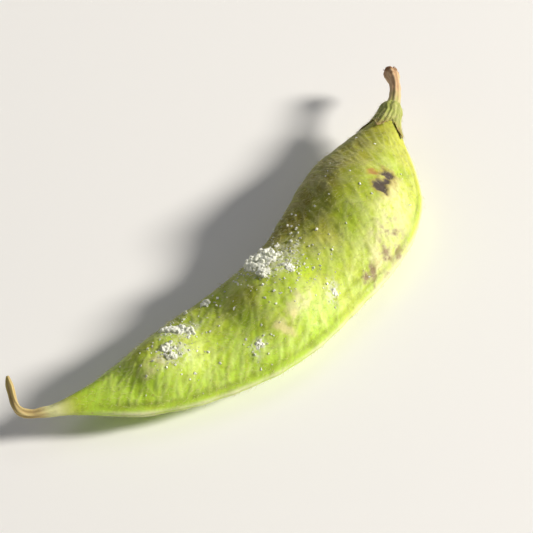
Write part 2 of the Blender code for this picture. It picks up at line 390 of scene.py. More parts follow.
class SaltSettings(bpy.types.PropertyGroup):
    """The coarse salt."""

    white: colour_choice("Salt", "White of dry salt", "#eceede")
    damp: colour_choice("Damp salt", "Greyer salt in the hollows", "#b6baa0")
    grain: FloatProperty(
        name="Grain size", description="Edge of the largest loose grain", default=0.00042,
        min=0.0, unit="LENGTH",
    )
    density: FloatProperty(
        name="Grains per square metre", description="Loose grains where they lie thickest",
        default=2.6e6, min=0.0,
    )
    seed: IntProperty(name="Seed", description="Changes where the grains lie", default=3, min=0)


class StageSettings(bpy.types.PropertyGroup):
    """Camera, floor and lights."""

    azimuth: FloatProperty(
        name="Azimuth", description="Camera's turn about the pod", default=math.radians(-48.4),
        subtype="ANGLE",
    )
    elevation: FloatProperty(
        name="Elevation", description="Camera's height above the horizon", default=math.radians(50.0),
        subtype="ANGLE",
    )
    width: FloatProperty(
        name="Picture width", description="Width the picture takes in at the pod", default=0.066,
        unit="LENGTH",
    )
    floor: colour_choice("Floor", "Plain pale floor", "#f8f7f4")


# ---------------------------------------------------------------------------------------- nodes


def add(tree, kind, inputs=None, **settings):
    """Add a node, set its options, and give each input a value or the socket that feeds it."""
    node = tree.nodes.new(kind)
    for option, value in settings.items():
        setattr(node, option, value)
    for socket, value in (inputs or {}).items():
        if isinstance(value, bpy.types.NodeSocket):
            tree.links.new(value, node.inputs[socket])
        else:
            node.inputs[socket].default_value = value
    return node


def new_material(name):
    """Start a material and give its node tree, emptied but for the output."""
    material = bpy.data.materials.new(name)
    material.use_nodes = True
    tree = material.node_tree
    tree.nodes.clear()
    return material, tree


def opaque(colour):
    """Give a colour an alpha of one."""
    return (*colour, 1.0)


def layered(tree, base, layers):
    """Lay paints over a base colour, each where its own mask says."""
    colour = base
    for mask, paint in layers:
        paint = paint if isinstance(paint, bpy.types.NodeSocket) else opaque(paint)
        mix = add(tree, "ShaderNodeMix", {0: mask, 6: colour, 7: paint}, data_type="RGBA")
        colour = mix.outputs[2]
    return colour


# ------------------------------------------------------------------------------------ hull shape


def smooth(low, high, value):
    """Rise smoothly from 0 at low to 1 at high."""
    share = np.clip((value - low) / (high - low), 0.0, 1.0)
    return share * share * (3.0 - 2.0 * share)


def near(distance, width, power=2):
    """Fall from 1 on a line to nearly 0 at twice a width from it."""
    return np.exp(-((distance / width) ** power))


def turned(along, across, degrees):
    """Measure two lengths at right angles in directions turned by an angle."""
    c, s = math.cos(math.radians(degrees)), math.sin(math.radians(degrees))
    return along * c + across * s, across * c - along * s


def field(points, seed):
    """Read smooth noise, from about -1 to 1, at points whose last axis holds x, y and z."""
    moved = (points.reshape(-1, 3) + np.array([seed * 7.3, seed * 3.1, seed * 5.7])).tolist()
    return np.array([noise.noise(place) for place in moved]).reshape(points.shape[:-1])


def line_noise(seed, *measures):
    """Read noise at three measures of each point, each divided by the size it varies over."""
    return field(np.stack(np.broadcast_arrays(*measures), axis=-1), seed)


def heading_at(distance):
    """Give the middle line's direction, in radians, at distances from the beak."""
    swing = (HEADING_STALK - HEADING_BEAK) * smooth(BEND_START, BEND_END, distance)
    return np.radians(HEADING_BEAK + swing)


def line_places(distances):
    """Give the plan positions of points on the middle line, by walking along it."""
    walk = np.linspace(0.0, 0.08, 801)
    middle = heading_at(0.5 * (walk[1:] + walk[:-1]))
    stride = walk[1] - walk[0]
    x = np.concatenate([[0.0], np.cumsum(stride * np.cos(middle))])
    y = np.concatenate([[0.0], np.cumsum(stride * np.sin(middle))])
    return np.interp(distances, walk, x), np.interp(distances, walk, y)


def hull_controls():
    """List the ribs from tip to neck: centre, outer and inner reach, half thickness, distance."""
    rows = []
    beak_height = HULL_RIBS[0][4]
    for (x, y, z), radius, distance in TIP_RIBS:
        rows.append((x, y, beak_height + z, radius, radius, radius, distance))
    for distance, outer, inner, half_thickness, height in HULL_RIBS:
        x, y = line_places(distance)
        rows.append((x, y, height, outer, inner, half_thickness, distance))
    x, y = line_places(NECK_END)
    rows.append((x, y, NECK_HEIGHT, 0.0004, 0.0004, 0.0004, NECK_END))
    return np.array(rows)


def spline(controls, at):
    """Read a uniform cubic B-spline of the control rows at rib numbers."""
    before = 2.0 * controls[0] - controls[1]
    after = 2.0 * controls[-1] - controls[-2]
    padded = np.concatenate([before[None], controls, after[None]])
    cell = np.clip(np.floor(at).astype(int), 0, len(controls) - 2)
    t = (at - cell)[:, None]
    weights = ((1 - t) ** 3, 3 * t**3 - 6 * t**2 + 4, -3 * t**3 + 3 * t**2 + 3 * t + 1, t**3)
    return sum(weight * padded[cell + step] for step, weight in enumerate(weights)) / 6.0


def rib_frames(rows):
    """Give the along, sideways and upward directions of spline rows."""
    along = np.gradient(rows[:, :3], axis=0)
    along /= np.linalg.norm(along, axis=1)[:, None]
    side = np.cross([0.0, 0.0, 1.0], along)
    side /= np.linalg.norm(side, axis=1)[:, None]
    up = np.cross(along, side)
    lean = math.radians(ROLL)
    return along, side * math.cos(lean) + up * math.sin(lean), up * math.cos(lean) - side * math.sin(lean)


def lens(outer, inner, half_thickness, around, lift):
    """Give the sideways and upward reach of a lens pinched at its seams, lifted off all round."""
    mean, lean = 0.5 * (inner + outer), 0.5 * (inner - outer)
    c, s = np.cos(around), np.sin(around)
    sideways = mean * c + lean * c * c + lift * c
    upward = half_thickness * np.sign(s) * np.abs(s) ** PINCH + lift * s
    return sideways, upward


def even_stations(controls, count):
    """Pick rib numbers that space the rings evenly along the middle line."""
    dense = np.linspace(0.0, len(controls) - 1.0, 4000)
    places = spline(controls, dense)[:, :3]
    travelled = np.concatenate([[0.0], np.cumsum(np.linalg.norm(np.diff(places, axis=0), axis=1))])
    return np.interp(np.linspace(0.0, travelled[-1], count), travelled, dense)


def grid_normals(grid):
    """Give outward normals of a closed-round grid of points."""
    around = np.roll(grid, -1, axis=1) - np.roll(grid, 1, axis=1)
    along = np.gradient(grid, axis=0)
    normal = np.cross(around, along)
    return normal / np.maximum(np.linalg.norm(normal, axis=2), 1e-12)[..., None]


def tube_mesh(name, grid):
    """Skin a grid of rings, each end closed on a middle point."""
    rings, sides = grid.shape[:2]
    points = np.concatenate([grid.reshape(-1, 3), grid[0].mean(0)[None], grid[-1].mean(0)[None]])
    i, j = np.meshgrid(np.arange(rings - 1), np.arange(sides), indexing="ij")
    k = (j + 1) % sides
    quads = np.stack([i * sides + j, i * sides + k, (i + 1) * sides + k, (i + 1) * sides + j], axis=-1)
    first, last = rings * sides, rings * sides + 1
    top = (rings - 1) * sides
    caps = [(first, (n + 1) % sides, n) for n in range(sides)]
    caps += [(last, top + n, top + (n + 1) % sides) for n in range(sides)]
    mesh = bpy.data.meshes.new(name)
    mesh.from_pydata(points.tolist(), [], quads.reshape(-1, 4).tolist() + caps)
    mesh.shade_smooth()
    return mesh


def put_attribute(mesh, name, values, kind="FLOAT"):
    """Store one value per point on a mesh."""
    layer = mesh.attributes.new(name, kind, "POINT")
    numbers = np.asarray(values, np.float32).ravel()
    layer.data.foreach_set("value" if kind == "FLOAT" else "vector", numbers)


def capped(values):
    """Give the two end points of a tube the values of their rings' first points."""
    rows = values.reshape(values.shape[0] * values.shape[1], -1)
    return np.concatenate([rows, values[0, :1].reshape(1, -1), values[-1, :1].reshape(1, -1)])


def arc_from(grid, column):
    """Measure along each ring how far its points lie from one column of the grid."""
    rolled = np.roll(grid, -column, axis=1)
    steps = np.linalg.norm(np.roll(rolled, -1, axis=1) - rolled, axis=2)
    forward = np.concatenate([np.zeros((len(grid), 1)), np.cumsum(steps, axis=1)[:, :-1]], axis=1)
    whole = steps.sum(axis=1, keepdims=True)
    return np.roll(np.minimum(forward, whole - forward), column, axis=1)


def bare_hull():
    """Lay out the smooth hull inside the solid's box, with the measures that its marks follow."""
    controls = hull_controls()
    rows = spline(controls, even_stations(controls, RINGS))
    along, side, up = rib_frames(rows)
    around = np.linspace(0.0, 2.0 * math.pi, RING_SIDES, endpoint=False)[None]
    across, rise = lens(rows[:, 3, None], rows[:, 4, None], rows[:, 5, None], around, 0.0)
    points = rows[:, None, :3] + across[..., None] * side[:, None] + rise[..., None] * up[:, None]
    low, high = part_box("pod")
    middle = 0.5 * (points.min(axis=(0, 1)) + points.max(axis=(0, 1)))
    shift = np.array([0.5 * (low.x + high.x) - middle[0], 0.5 * (low.y + high.y) - middle[1], 0.0])
    points += shift
    return SimpleNamespace(
        points=points,
        normal=grid_normals(points),
        along=along,
        around=around,
        across=((points - rows[:, None, :3] - shift) * side[:, None]).sum(axis=2),
        distance=np.repeat(rows[:, 6, None], RING_SIDES, axis=1),
        inner_seam=arc_from(points, 0),
        outer_seam=arc_from(points, RING_SIDES // 2),
        shift=shift,
    )


def mark_masks(hull):
    """Work out where the char, the scorched rings and the patches of other skin lie; two of the pale patches
    are partly a painted highlight.
    """
    upper = hull.normal[..., 2] > 0.0
    ragged = field(hull.points * 1100.0, 11) + 0.5 * field(hull.points * 2600.0, 12)
    masks = {name: np.zeros(upper.shape) for name in ("char", "halo", *PATCHES)}

    def offset_from(along, across):
        """Measure in plan from a mark's middle."""
        return hull.points[..., :2] - (np.array([along, across]) + hull.shift[:2])

    def lay(name, valve, mask):
        """Add a mark to its mask, on the valve that it lies on."""
        masks[name] = np.maximum(masks[name], (upper == (valve > 0)) * mask)

    for along, across, valve, radius in CHAR_SPOTS:
        distance = np.linalg.norm(offset_from(along, across), axis=-1) * (1.0 + 0.55 * ragged)
        lay("char", valve, 1.0 - smooth(0.62 * radius, 1.12 * radius, distance))
        lay("halo", valve, 1.0 - smooth(0.9 * radius, 1.9 * radius, distance))
    for name, patches in PATCHES.items():
        for along, across, valve, half_length, half_width, turn in patches:
            offset = offset_from(along, across)
            run, breadth = turned(offset[..., 0], offset[..., 1], turn)
            distance = np.hypot(run / half_length, breadth / half_width) * (1.0 + 0.35 * ragged)
            lay(name, valve, 1.0 - smooth(0.5, 1.25, distance))
    return masks


def skin_noises(hull):
    """Read the noises behind the skin's veins, hatching, swells, wrinkles, blisters and creases."""
    points, height = hull.points, hull.points[..., 2]
    run, cross = turned(hull.distance, hull.across, VEIN_SLANT)
    vein = line_noise(1, run / VEIN_LENGTH, cross / VEIN_GAP, height / PATTERN_DEPTH)
    link = line_noise(2, run / LINK_GAP, cross / LINK_LENGTH, height / PATTERN_DEPTH)
    vein = (1.0 - np.abs(vein) * 2.6).clip(0.0, 1.0) ** 2
    link = (1.0 - np.abs(link) * 3.4).clip(0.0, 1.0) ** 2
    run, cross = turned(hull.distance, hull.across, HATCH_SLANT)
    valve = np.sign(np.sin(hull.around))
    ring_x, ring_y = 1.6 * np.cos(hull.around), 1.6 * np.sin(hull.around)
    return SimpleNamespace(
        vein=np.maximum(vein, 0.6 * link),
        hatch=line_noise(10, run / HATCH_LENGTH, cross / HATCH_GAP, height / HATCH_DEPTH),
        swell=field(points * 130.0, 3),
        dimple=field(points * 420.0, 4),
        blister=field(points * 950.0, 6),
        wrinkle=line_noise(5, hull.distance / WRINKLE_LENGTH, hull.inner_seam / WRINKLE_GAP, valve),
        crease=line_noise(9, ring_x, ring_y, hull.distance / CREASE_LENGTH),
    )


def skin_zones(hull, skin):
    """Mark off the fleshy part, the seams, the furrow along the outer one and the dry tip."""
    distance = hull.distance
    off_seam = np.minimum(hull.inner_seam, hull.outer_seam)
    fleshy = smooth(0.003, 0.010, distance) * (1.0 - smooth(0.060, 0.065, distance))
    broken = (0.75 + 0.6 * skin.dimple).clip(0.0, 1.0)
    twist = np.sin(4.0 * hull.around + 420.0 * distance)
    return SimpleNamespace(
        fleshy=fleshy,
        furrow=fleshy * near(hull.outer_seam - FURROW_PLACE, FURROW_WIDTH) * broken,
        beside_seam=near(off_seam, 0.0022),
        clear=smooth(0.0004, 0.0016, off_seam),
        inland=smooth(0.0003, 0.0038, off_seam),
        seam=smooth(0.0015, 0.009, distance) * (1.0 - 0.75 * smooth(0.059, 0.064, distance)),
        dry=1.0 - smooth(-0.0028, 0.0040, distance),
        shrivel=twist * 0.45 + 1.1 * skin.crease + 0.5 * skin.blister,
    )


def skin_height(hull, skin, zones, masks, settings):
    """Work out how far each point of the skin stands out from the smooth hull."""
    outer_lip = near(hull.outer_seam, 0.00046) - 0.5 * near(hull.outer_seam, 0.00013)
    inner_lip = near(hull.inner_seam, 0.00045) - 0.5 * near(hull.inner_seam, 0.00013)
    waviness = 1.0 + 0.35 * skin.dimple
    fleshy = zones.fleshy
    height = settings.seam_height * zones.seam * waviness * (outer_lip + 0.75 * inner_lip)
    height = height + fleshy * zones.clear * settings.vein_height * skin.vein
    height = height + fleshy * (SWELL_HEIGHT * skin.swell + DIMPLE_HEIGHT * skin.dimple)
    height = height + fleshy * zones.clear * HATCH_HEIGHT * skin.hatch
    height = height - fleshy * zones.inland * BEAN_DIP - FURROW_DEPTH * zones.furrow
    for place, half_length, half_width in BEANS:
        reach = np.hypot((hull.distance - place) / half_length, hull.across / half_width)
        reach = reach * (1.0 + 0.10 * skin.swell)
        height = height + fleshy * zones.inland * BEAN_RISE * (1.0 - smooth(0.40, 1.25, reach))
    wrinkled = WRINKLE_HEIGHT + SEAM_WRINKLE_HEIGHT * zones.beside_seam
    height = height + fleshy * zones.clear * wrinkled * skin.wrinkle
    height = height + masks["pale"] * (PALE_RISE + BLISTER_HEIGHT * skin.blister)
    rim = masks["halo"] * (1.0 - masks["char"])
    height = height + CHAR_RIM * rim - CHAR_DEPTH * masks["char"] * (1.0 + 0.8 * skin.blister)
    return height + zones.dry * SHRIVEL_HEIGHT * zones.shrivel


def skin_paint(hull, skin, zones, masks):
    """Say how much of each colour, of the fuzz and of the loose salt each point gets."""
    distance, fleshy = hull.distance, zones.fleshy
    drift = 0.35 * skin.swell + 0.15 * skin.dimple
    # Inward runs towards the inner seam: the lime below paints light away from it and the brown paints shade
    # towards it.
    inward = hull.across / 0.0065
    green = smooth(0.0005, 0.0050, distance) * (1.0 - smooth(0.060, 0.065, distance))
    seam = zones.seam * (near(hull.outer_seam, 0.00048, 4) + 0.6 * near(hull.inner_seam, 0.00042))
    seam = seam * (0.80 + 0.45 * skin.dimple) - 0.45 * near(hull.outer_seam, 0.00012) * zones.seam
    off_floor = smooth(0.0007, 0.0020, hull.points[..., 2])
    on_top = smooth(-0.1, 0.5, hull.normal[..., 2])
    clump = (field(hull.points * 260.0, 8) - 0.25).clip(0.0, 1.0)
    return {
        **masks,
        "seam": seam.clip(0.0, 1.0),
        "vein": skin.vein * fleshy * zones.clear,
        # Furrow: painted shade in the sunken furrow along the outer seam.
        "furrow": zones.furrow,
        # Hatch sets where shade is painted in the hatching's grooves and a highlight on its ridges.
        "hatch": (0.5 + 0.8 * skin.hatch).clip(0.0, 1.0),
        "dry": zones.dry,
        # Crease: painted shade where the dry tip's skin sinks.
        "crease": (0.5 - 0.5 * np.clip(zones.shrivel, -1.0, 1.0)) * zones.dry,
        # Lime: partly the pod's own green towards the beak, partly painted light on the outer seam's side.
        "lime": green * smooth(0.1, 0.9, 0.95 - distance / 0.052 - 0.35 * inward + drift),
        # Brown: partly the pod's own duller tone towards the stalk, partly painted shade on the inner seam's
        # side.
        "brown": fleshy * smooth(0.50, 1.10, 0.60 * inward + distance / 0.080 + drift),
        "fuzz": smooth(0.000, 0.006, distance) * (1.0 - 0.9 * masks["char"]) * off_floor,
        "grains": on_top * fleshy * (0.015 + grains_near_lumps(hull.points) + 0.35 * clump),
    }


def build_hull_mesh(settings):
    """Shape the hull: ribs, seams, veins, wrinkles, blisters and char pits, with their masks."""
    hull = bare_hull()
    skin = skin_noises(hull)
    zones = skin_zones(hull, skin)
    masks = mark_masks(hull)
    height = skin_height(hull, skin, zones, masks, settings)
    grid = hull.points + hull.normal * height[..., None]
    # The beans press the lower valve flat where they rest.
    level = grid[..., 2]
    pressed = PRESSED_HEIGHT * np.exp(np.minimum(level, PRESSED_HEIGHT) / PRESSED_HEIGHT - 1.0)
    grid[..., 2] = np.where(level < PRESSED_HEIGHT, pressed, level)

    mesh = tube_mesh("pod_hull", grid)
    for name, value in skin_paint(hull, skin, zones, masks).items():
        put_attribute(mesh, name, capped(value))
    lean = np.repeat(-hull.along[:, None], RING_SIDES, axis=1)
    put_attribute(mesh, "lean", capped(lean), "FLOAT_VECTOR")
    put_uv(mesh, RINGS, RING_SIDES)
    return mesh


def grains_near_lumps(points):
    """Crowd the loose grains round the lumps of salt."""
    crowd = np.zeros(points.shape[:2])
    for name in SALT_NODES:
        low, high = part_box(name)
        centre = 0.5 * (low + high)
        reach = 0.5 * (high - low).length
        distance = np.linalg.norm(points - np.array(centre), axis=2)
        crowd += reach / 0.003 * near(distance, reach + 0.0012)
    return crowd.clip(0.0, 1.2)


def put_uv(mesh, rings, sides):
    """Unroll a tube into one strip for its upper half and one for its lower half."""
    layer = mesh.uv_layers.new(name="OFBake")
    loops = np.zeros(len(mesh.loops), int)
    mesh.loops.foreach_get("vertex_index", loops)
    totals = np.zeros(len(mesh.polygons), int)
    mesh.polygons.foreach_get("loop_total", totals)
    face_of = np.repeat(np.arange(len(totals)), totals)
    on_ring = loops < rings * sides
    end_ring = np.where(loops == rings * sides, 0, rings - 1)
    ring = np.where(on_ring, loops // sides, end_ring)
    column = (loops % sides).astype(float)
    smallest = np.full(len(totals), sides * 2.0)
    np.minimum.at(smallest, face_of, np.where(on_ring, column, smallest[face_of]))
    largest = np.zeros(len(totals))
    np.maximum.at(largest, face_of, np.where(on_ring, column, 0.0))
    # The last column's faces run on to the first column, so they count on instead of back.
    wraps = (largest - smallest)[face_of] > sides / 2
    column = np.where(wraps & (column < sides / 2), column + sides, column)
    middle = 0.5 * np.where(wraps, largest[face_of] + sides, largest[face_of] + smallest[face_of])
    column = np.where(on_ring, column, middle)
    half = sides // 2
    lower = np.where(wraps, True, smallest[face_of] >= half)
    u = 0.015 + 0.97 * ring / (rings - 1.0)
    v = np.where(lower, 0.515 + 0.47 * (column - half) / half, 0.015 + 0.47 * column / half)
    layer.data.foreach_set("uv", np.stack([u, v], axis=1).astype(np.float32).ravel())


def link_piece(mesh, name, material, nodes):
    """Put a finished mesh in the scene on the root body."""
    mesh.materials.clear()
    mesh.materials.append(material)
    piece = bpy.data.objects.new(name, mesh)
    bpy.context.scene.collection.objects.link(piece)
    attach(piece, "root")
    if nodes:
        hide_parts(*nodes)
    return piece


# ------------------------------------------------------------------------------------- materials


def hull_material(settings):
    """Boiled and grilled pod skin: a moist, waxy green whose satin gloss breaks up in its veins.

    Cloudy green patches are about 8 mm wide, mottling about 1.3 mm, and stomata-like stipple
    about 0.35 mm, which is drawn coarser than the real 0.05 mm so that it shows.
    """
    material, tree = new_material("boiled_pod_skin")
    place = add(tree, "ShaderNodeTexCoord").outputs["Object"]
    sources = {}
    for name, scale, detail in (("cloud", 120.0, 2.0), ("mottle", 760.0, 4.0), ("stipple", 2900.0, 3.0)):
        node = add(tree, "ShaderNodeTexNoise", {"Vector": place, "Scale": scale, "Detail": detail})
        sources[name] = node.outputs["Fac"]
    specks = add(tree, "ShaderNodeTexVoronoi", {"Vector": place, "Scale": 520.0})
    sources["specks"] = specks.outputs["Distance"]
    for name in (
        "char", "halo", *PATCHES, "seam", "furrow", "vein", "hatch", "dry", "crease", "lime", "brown",
    ):
        sources[name] = add(tree, "ShaderNodeAttribute", attribute_name=name).outputs["Fac"]

    # Each pattern: what it is read from, the stretch of it that counts, and the shares at its ends.
    shares = {}
    for name, source, low, high, first, last in (
        ("ripe", "cloud", 0.42, 0.62, 0.0, 1.0),
        ("sparse", "cloud", 0.55, 0.62, 0.0, 1.0),
        ("dull", "mottle", 0.50, 0.72, 0.0, 0.50),
        ("patchy", "mottle", 0.34, 0.52, 0.0, 1.0),
        ("blotchy", "mottle", 0.46, 0.62, 0.0, 1.0),
        ("rough", "mottle", 0.3, 0.7, 0.44, 0.60),
        ("bright", "stipple", 0.56, 0.70, 0.0, 0.45),
        ("dusty", "stipple", 0.40, 0.54, 0.0, 1.0),
        ("specks", "specks", 0.05, 0.11, 0.55, 0.0),
        # Painted shade in the hatching's grooves and a painted highlight on its ridges.
        ("groove", "hatch", 0.40, 0.05, 0.0, 0.22),
        ("ridge", "hatch", 0.62, 0.95, 0.0, 0.28),
        ("tip_base", "dry", 0.05, 0.50, 0.0, 1.0),
        ("tip_dry", "dry", 0.66, 0.92, 0.0, 1.0),
    ):
        limits = {"Value": sources[source], 1: low, 2: high, 3: first, 4: last}
        shares[name] = add(tree, "ShaderNodeMapRange", limits).outputs[0]
    # Each mark: the mask it fills, the pattern that breaks it up, and how strongly it shows.
    marks = {}
    for name, mask, broken_by, strength in (
        ("vein", sources["vein"], 1.0, 0.22),
        ("specks", shares["specks"], shares["sparse"], 1.0),
        ("pale", sources["pale"], shares["patchy"], 0.85),
        ("blush", sources["blush"], shares["patchy"], 1.0),
        ("bruise", sources["bruise"], shares["blotchy"], 1.0),
        ("bloom", sources["bloom"], shares["dusty"], 0.65),
        # The furrow's olive is painted shade in the sunken furrow.
        ("furrow", sources["furrow"], 1.0, 0.55),
        ("seam", sources["seam"], 1.0, 0.90),
        ("crease", sources["crease"], shares["tip_dry"], 0.75),
        ("halo", sources["halo"], 1.0, 0.60),
        ("scorch", sources["scorch"], shares["patchy"], 1.0),
    ):
        broken = add(tree, "ShaderNodeMath", {0: mask, 1: broken_by}, operation="MULTIPLY").outputs[0]
        marks[name] = add(tree, "ShaderNodeMath", {0: broken, 1: strength}, operation="MULTIPLY").outputs[0]
    colour = layered(tree, opaque(settings.fresh), (
        (shares["ripe"], settings.ripe),
        # Olive brown: partly the pod's own tone towards the stalk, partly painted shade on the inner seam's
        # side.
        (sources["brown"], settings.brown),
        # Lime: partly the pod's own green towards the beak, partly painted light on the outer seam's side.
        (sources["lime"], settings.lime),
        (shares["dull"], settings.olive),
        # Painted shade in the hatching's grooves and a painted highlight on its ridges.
        (shares["groove"], settings.olive),
        (shares["ridge"], settings.ridge),
        (shares["bright"], settings.ripe),
        (marks["vein"], settings.seam),
        (marks["specks"], settings.halo),
        # Pale: partly lifted cream skin, partly a painted highlight on the third bean's outer flank.
        (marks["pale"], settings.pale),
        (marks["blush"], settings.blush),
        (marks["bruise"], settings.bruise),
        (marks["bloom"], settings.bloom),
        # Painted shade in the furrow beside the outer seam.
        (marks["furrow"], settings.olive),
        (marks["seam"], settings.seam),
        (shares["tip_base"], settings.tip_base),
        (shares["tip_dry"], settings.tip_dry),
        # Painted shade in the sunken creases of the dry tip.
        (marks["crease"], settings.tip_crease),
        (marks["halo"], settings.halo),
        (marks["scorch"], settings.scorch),
        (sources["char"], settings.char),
    ))
    # Char, dried salt and the withered tip are all duller than the moist skin.
    rough = shares["rough"]
    for mask, roughness in ((sources["char"], 0.72), (marks["bloom"], 0.85), (shares["tip_base"], 0.75)):
        rough = add(tree, "ShaderNodeMix", {0: mask, 2: rough, 3: roughness}).outputs[0]
    grain = {0: sources["stipple"], 1: sources["mottle"]}
    bumps = add(tree, "ShaderNodeMath", grain, operation="ADD").outputs[0]
    bump = add(tree, "ShaderNodeBump", {"Height": bumps, "Strength": 0.35, "Distance": 0.00012})
    shader = add(tree, "ShaderNodeBsdfPrincipled", {
        "Base Color": colour,
        "Roughness": rough,
        "Normal": bump.outputs["Normal"],
        "IOR": 1.45,
        "Specular IOR Level": 0.36,
        "Subsurface Weight": 0.15,
        "Subsurface Radius": (0.9, 1.0, 0.25),
        "Subsurface Scale": 0.0012,
        "Sheen Weight": 0.04,
        "Sheen Roughness": 0.4,
    })
    add(tree, "ShaderNodeOutputMaterial", {"Surface": shader.outputs[0]})
    return material


def hair_material(settings):
    """Plant hair: translucent and tawny, so that the fuzz catches the light at the edges."""
    material, tree = new_material("pod_hair")
    place = add(tree, "ShaderNodeTexCoord").outputs["Object"]
    patch = add(tree, "ShaderNodeTexNoise", {"Vector": place, "Scale": 900.0}).outputs["Fac"]
    colour = layered(tree, opaque(settings.hair), ((patch, linear("#c7bd7c")),))
    shader = add(tree, "ShaderNodeBsdfPrincipled", {
        "Base Color": colour,
        "Roughness": 0.5,
        "Subsurface Weight": 0.3,
        "Subsurface Radius": (1.0, 0.9, 0.5),
        "Subsurface Scale": 0.0003,
    })
    add(tree, "ShaderNodeOutputMaterial", {"Surface": shader.outputs[0]})
    return material


def salt_material(settings):
    """Coarse sea salt: milky grains that let light in, greyer where the lump is damp."""
    material, tree = new_material("sea_salt")
    place = add(tree, "ShaderNodeTexCoord").outputs["Object"]
    damp = add(tree, "ShaderNodeTexNoise", {"Vector": place, "Scale": 900.0, "Detail": 3.0}).outputs["Fac"]
    damp = add(tree, "ShaderNodeMapRange", {"Value": damp, 1: 0.48, 2: 0.70}).outputs[0]
    grit = add(tree, "ShaderNodeTexNoise", {"Vector": place, "Scale": 4200.0, "Detail": 2.0}).outputs["Fac"]
    colour = layered(tree, opaque(settings.white), ((damp, settings.damp),))
    rough = add(tree, "ShaderNodeMapRange", {"Value": grit, 1: 0.3, 2: 0.7, 3: 0.25, 4: 0.6}).outputs[0]
    bump = add(tree, "ShaderNodeBump", {"Height": grit, "Strength": 0.5, "Distance": 0.0001})
    shader = add(tree, "ShaderNodeBsdfPrincipled", {
        "Base Color": colour,
        "Roughness": rough,
        "Normal": bump.outputs["Normal"],
        "IOR": 1.544,
        "Subsurface Weight": 0.55,
        "Subsurface Radius": (1.0, 1.0, 0.9),
        "Subsurface Scale": 0.0006,
    })
    add(tree, "ShaderNodeOutputMaterial", {"Surface": shader.outputs[0]})
    return material


def calyx_material(settings):
    """Withered calyx: thin dry leaf, green tan with browned teeth and no gloss."""
    material, tree = new_material("withered_calyx")
    place = add(tree, "ShaderNodeTexCoord").outputs["Object"]
    mottle = add(tree, "ShaderNodeTexNoise", {"Vector": place, "Scale": 1300.0, "Detail": 4.0}).outputs["Fac"]
    edge = add(tree, "ShaderNodeAttribute", attribute_name="edge").outputs["Fac"]
    spread = add(tree, "ShaderNodeMath", {0: edge, 1: mottle}, operation="MULTIPLY").outputs[0]
    brown = add(tree, "ShaderNodeMapRange", {"Value": spread, 1: 0.15, 2: 0.5}).outputs[0]
    fleck = add(tree, "ShaderNodeMapRange", {"Value": mottle, 1: 0.5, 2: 0.75, 4: 0.6}).outputs[0]
    colour = layered(tree, opaque(settings.calyx), ((fleck, linear("#c9c184")), (brown, settings.calyx_edge)))
    bump = add(tree, "ShaderNodeBump", {"Height": mottle, "Strength": 0.5, "Distance": 0.0001})
    shader = add(tree, "ShaderNodeBsdfPrincipled", {
        "Base Color": colour, "Roughness": 0.72, "Normal": bump.outputs["Normal"],
    })
    add(tree, "ShaderNodeOutputMaterial", {"Surface": shader.outputs[0]})
    return material


def stalk_material(settings):
    """Dry stalk: ribbed, green at the calyx, pinkish tan along its length, brown where torn."""
    material, tree = new_material("dry_stalk")
    place = add(tree, "ShaderNodeTexCoord").outputs["Object"]
    mottle = add(tree, "ShaderNodeTexNoise", {"Vector": place, "Scale": 1500.0, "Detail": 4.0}).outputs["Fac"]
    along = add(tree, "ShaderNodeAttribute", attribute_name="along").outputs["Fac"]
    ridge = add(tree, "ShaderNodeAttribute", attribute_name="ridge").outputs["Fac"]
    wander = add(tree, "ShaderNodeMath", {0: mottle, 1: -0.5}, operation="ADD").outputs[0]
    wander = add(tree, "ShaderNodeMath", {0: wander, 1: 0.5, 2: along}, operation="MULTIPLY_ADD").outputs[0]
    tan = add(tree, "ShaderNodeMapRange", {"Value": wander, 1: 0.10, 2: 0.45}).outputs[0]
    torn = add(tree, "ShaderNodeMapRange", {"Value": wander, 1: 0.84, 2: 0.97}).outputs[0]
    light = add(tree, "ShaderNodeMath", {0: ridge, 1: 0.45}, operation="MULTIPLY").outputs[0]
    colour = layered(tree, opaque(settings.stalk_green), (
        (tan, settings.stalk_tan), (light, linear("#dcc79b")), (torn, settings.torn),
    ))
    bump = add(tree, "ShaderNodeBump", {"Height": mottle, "Strength": 0.6, "Distance": 0.0001})
    shader = add(tree, "ShaderNodeBsdfPrincipled", {
        "Base Color": colour, "Roughness": 0.7, "Normal": bump.outputs["Normal"],
    })
    add(tree, "ShaderNodeOutputMaterial", {"Surface": shader.outputs[0]})
    return material


def floor_material(settings):
    """Matt painted board: pale, with the faintest cloudiness."""
    material, tree = new_material("matt_board")
    place = add(tree, "ShaderNodeTexCoord").outputs["Object"]
    cloud = add(tree, "ShaderNodeTexNoise", {"Vector": place, "Scale": 6.0}).outputs["Fac"]
    colour = layered(tree, opaque(settings.floor), ((cloud, linear("#fbfaf8")),))
    shader = add(tree, "ShaderNodeBsdfPrincipled", {"Base Color": colour, "Roughness": 0.9})
    add(tree, "ShaderNodeOutputMaterial", {"Surface": shader.outputs[0]})
    return material


# -------------------------------------------------------------------------------- scattered things


